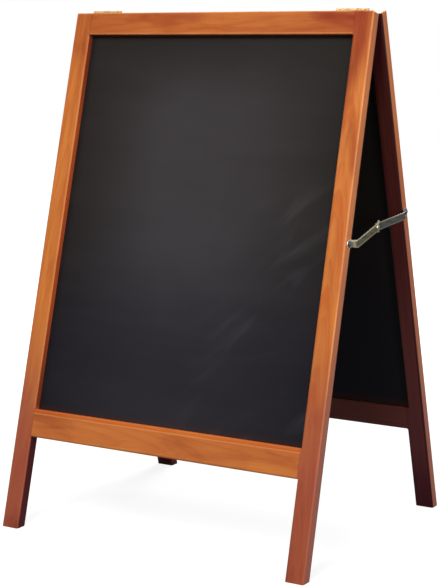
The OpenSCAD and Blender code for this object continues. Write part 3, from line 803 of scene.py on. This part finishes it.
def link_place(strip, end):
    """Place on a link, seen from the side: how far along it from the rivet, how far above its
    middle line, and how far from its eye. Last comes how long its bar is, up to the eye."""
    _, y, z = strip.axes(strip.place())
    rivet = [sum(corner[axis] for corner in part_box("right_stay_rivet_tail")) / 2 for axis in (1, 2)]
    joint = next(j for j in frame["joints"] if j["name"] == f"right_{end}_link_turn")
    eye = joint["pos_m"][1:]
    run = [eye[0] - rivet[0], eye[1] - rivet[1]]
    reach = math.hypot(*run)
    bar = math.sqrt(reach ** 2 - eye_rise ** 2)
    sense = math.copysign(1.0, run[0])
    square_on = (-sense * run[1], sense * run[0])
    ahead = [(bar * r - eye_rise * s) / reach ** 2 for r, s in zip(run, square_on)]
    upward = [(eye_rise * r + bar * s) / reach ** 2 for r, s in zip(run, square_on)]
    along = (y - rivet[0]) * ahead[0] + (z - rivet[1]) * ahead[1]
    across = (y - rivet[0]) * upward[0] + (z - rivet[1]) * upward[1]
    return along, across, strip.distance(y - eye[0], z - eye[1]), bar


def stay_bronze(name, end, dark, mid, worn_and_highlit):
    """Bronzed strip, darkest along its middle. Rims rubbed bright under a painted highlight, the
    upper most; edge faces painted bright.
    """
    strip = Finish(name)
    along, across, from_eye, bar_length = link_place(strip, end)
    grain = strip.streaks(strip.place(), (300, 70, 300), detail=3.0, roughness=0.6)
    mottle = strip.noise(strip.place(), 420.0, detail=3.0, roughness=0.6)
    rag = (mottle - 0.5) * 0.0006
    rim_band = (link_half - rub_line * 1.7, link_half - rub_line * 0.8)
    bar = strip.fade(along, bar_length - eye_radius * 0.6, bar_length - eye_radius * 1.3)
    eye_rim = strip.fade(from_eye, eye_radius - rub_line * 1.6, eye_radius - rub_line * 0.7)
    upper = strip.fade(across + rag, *rim_band)
    lower = strip.fade(rag - across, *rim_band)
    side_on = abs(strip.axes(strip.make("ShaderNodeTexCoord", {}, {}, "Normal"))[0])
    # Painted highlights on the wear: the upper rim and the eye's rim most, the lower rim less, and
    # the edge faces.
    rubbed = strip.stronger(bar * upper, (1.0 - bar) * eye_rim)
    rubbed = strip.stronger(rubbed, bar * lower * 0.36)
    rubbed = strip.stronger(rubbed, strip.fade(side_on, 0.75, 0.45) * 0.8)
    tone = strip.blend(strip.fade(grain * 0.7 + mottle * 0.3, 0.36, 0.66), dark, mid)
    tone = strip.blend(rubbed * (0.9 + (mottle - 0.5) * 0.4), tone, worn_and_highlit)
    strip.set(
        Base_Color=tone, Metallic=rubbed * 0.2 + 0.8,
        Roughness=0.42 - rubbed * 0.06 + (mottle - 0.5) * 0.16,
        Normal=strip.relief(grain * 0.5 + mottle * 0.5, depth=0.00004),
    )
    return strip


def tumbled(piece, old, body, finish):
    """A copy of a CAD piece with the sharpness taken off its edges, as tumbling leaves them."""
    shape = bmesh.new()
    shape.from_mesh(nodes[old].data)
    bmesh.ops.remove_doubles(shape, verts=shape.verts, dist=1e-6)
    bmesh.ops.dissolve_limit(
        shape, angle_limit=math.radians(0.5), verts=shape.verts, edges=shape.edges)
    mesh = bpy.data.meshes.new(piece)
    shape.to_mesh(mesh)
    shape.free()
    mesh.materials.append(finish.material)
    made = bpy.data.objects.new(piece, mesh)
    bpy.context.scene.collection.objects.link(made)
    easing = made.modifiers.new("tumbled", "BEVEL")
    easing.width = 0.00018
    easing.segments = 2
    easing.limit_method = "ANGLE"
    easing.angle_limit = math.radians(40)
    easing.use_clamp_overlap = False
    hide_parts(old)
    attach(made, body)


screw_zinc = metal(
    "stay_screw_zinc", bright=tint(96, 96, 112), dull=tint(44, 44, 54),
    roughness=0.36, mottle_scale=260.0)
rivet_steel = metal(
    "stay_rivet_steel", bright=tint(206, 196, 172), dull=tint(112, 104, 88),
    roughness=0.30, mottle_scale=260.0)
for side in ("left", "right"):
    for end, colours in link_finishes_lit_and_shaded.items():
        name = f"{side}_{end}_stay_link"
        bronze = stay_bronze(name + "_bronze", end, **colours)
        tumbled(f"{side}_{end}_tumbled_link", name, f"{side}_{end}_link", bronze)
    dress(f"{side}_stay_rivet_head", rivet_steel)
    dress(f"{side}_stay_rivet_tail", rivet_steel)

stay_screw = {
    "Head Diameter": 0.008 - screw_skin, "Head Height": 0.0026, "Head Rim": 0.0003,
    "Countersink": 0.0, "Shank Diameter": 0.004 - screw_skin, "Length": 0.0181 - screw_skin,
    "Tip": 0.004, "Slot Width": 0.001, "Slot Depth": 0.0012, "Thread Pitch": 0.0014,
    "Seed": 5, "Metal": screw_zinc.material,
}
for end in ("front", "rear"):
    seats = []
    for group in solids(f"{end}_stay_screws"):
        low, high = span(group)
        middle = (low + high) / 2
        outward = math.copysign(1.0, middle.x)
        top = high.x if outward > 0 else low.x
        seat = Vector((top - outward * stay_screw["Head Height"], middle.y, middle.z))
        seats.append((seat, Vector((outward, 0, 0))))
    drive_screws(f"{end}_slotted_stay_screws", f"{end}_stay_screws", f"{end}_frame",
                 seats, stay_screw)


# Studio. A pale floor that fades to white away from the sign, soft lamps in front, at the right,
# behind and above, and the camera at the right of the front board, nearly as high as its top.
def studio_floor():
    """Pale paper, lit from within to the camera's eye alone, and more so away from the sign."""
    half = 9.0
    glow_near, glow_far = 0.7, 1.9
    mesh = bpy.data.meshes.new("floor")
    corners = [(-half, -half, 0), (half, -half, 0), (half, half, 0), (-half, half, 0)]
    mesh.from_pydata(corners, [], [(0, 1, 2, 3)])
    floor = bpy.data.objects.new("floor", mesh)
    bpy.context.scene.collection.objects.link(floor)
    paper = Finish("floor_paper")
    x, y, _ = paper.axes(paper.place())
    away = paper.fade(paper.distance(x, y), glow_near, glow_far)
    seen = paper.make("ShaderNodeLightPath", {}, {}, "Is Camera Ray")
    grit = paper.noise(paper.place(), 40.0)
    paper.set(
        Base_Color=paper.blend(grit, tint(150, 150, 150), tint(156, 156, 156)),
        Roughness=0.9, Specular_IOR_Level=0.0,
        Emission_Color=(1, 1, 1, 1), Emission_Strength=seen * (away * 0.25 + 0.84),
    )
    mesh.materials.append(paper.material)


def studio_sky():
    """White to the camera and in reflections, and a dim light from all round for the rest."""
    world = bpy.data.worlds.new("sky")
    bpy.context.scene.world = world
    world.use_nodes = True
    sky = Bench(world.node_tree)
    path = sky.node("ShaderNodeLightPath", {}, {})
    seen = sky.make("ShaderNodeMath", {"operation": "ADD", "use_clamp": True}, {
        0: sky.out(path, "Is Camera Ray"), 1: sky.out(path, "Is Glossy Ray")})
    strength = sky.make("ShaderNodeMapRange", {}, {"Value": seen, "To Min": 0.06, "To Max": 1.0})
    background = sky.tree.nodes["Background"]
    sky.feed(background.inputs["Color"], (1, 1, 1, 1))
    sky.feed(background.inputs["Strength"], strength)


def lamp(name, place, aim, size, watts):
    """A soft round lamp, which the camera doesn't see."""
    data = bpy.data.lights.new(name, "AREA")
    data.shape = "DISK"
    data.size = size
    data.energy = watts
    made = bpy.data.objects.new(name, data)
    made.location = place
    made.rotation_mode = "QUATERNION"
    made.rotation_quaternion = (Vector(aim) - Vector(place)).to_track_quat("-Z", "Y")
    made.visible_camera = False
    bpy.context.scene.collection.objects.link(made)


studio_floor()
studio_sky()
lamp("key", place=(0.35, -2.9, 3.0), aim=(0.0, -0.1, 0.45), size=2.0, watts=122)
lamp("side", place=(2.7, -0.7, 1.1), aim=(0.2, 0.0, 0.5), size=1.4, watts=36)
lamp("back", place=(-0.6, 2.6, 1.7), aim=(0.0, 0.1, 0.5), size=1.6, watts=60)
lamp("top", place=(0.3, 0.1, 2.7), aim=(0.0, 0.0, 0.8), size=1.0, watts=8)

# The camera was fitted to the front frame's outline, in pixels of the picture. Its axis meets
# the picture on axis_row, above the middle, so the lens is shifted by the difference. The
# sensor's width lies along the longer side of the picture, which is its height.
camera_place = Vector((1.3463, -2.2200, 0.7769))
camera_azimuth = math.radians(31.40)
camera_drop = math.radians(5.305)
picture_high = 588
focal_px = 1617.0
axis_row = 190.0
camera_data = bpy.data.cameras.new("camera")
camera_data.sensor_width = 36.0
camera_data.lens = focal_px * camera_data.sensor_width / picture_high
camera_data.shift_y = -((picture_high - 1) / 2 - axis_row) / picture_high
camera_data.clip_start = 0.05
camera = bpy.data.objects.new("camera", camera_data)
camera.location = camera_place
ahead = Vector((-math.sin(camera_azimuth), math.cos(camera_azimuth), -math.tan(camera_drop)))
camera.rotation_mode = "QUATERNION"
camera.rotation_quaternion = ahead.to_track_quat("-Z", "Y")
bpy.context.scene.collection.objects.link(camera)
bpy.context.scene.camera = camera
bpy.context.scene.view_settings.view_transform = "Standard"
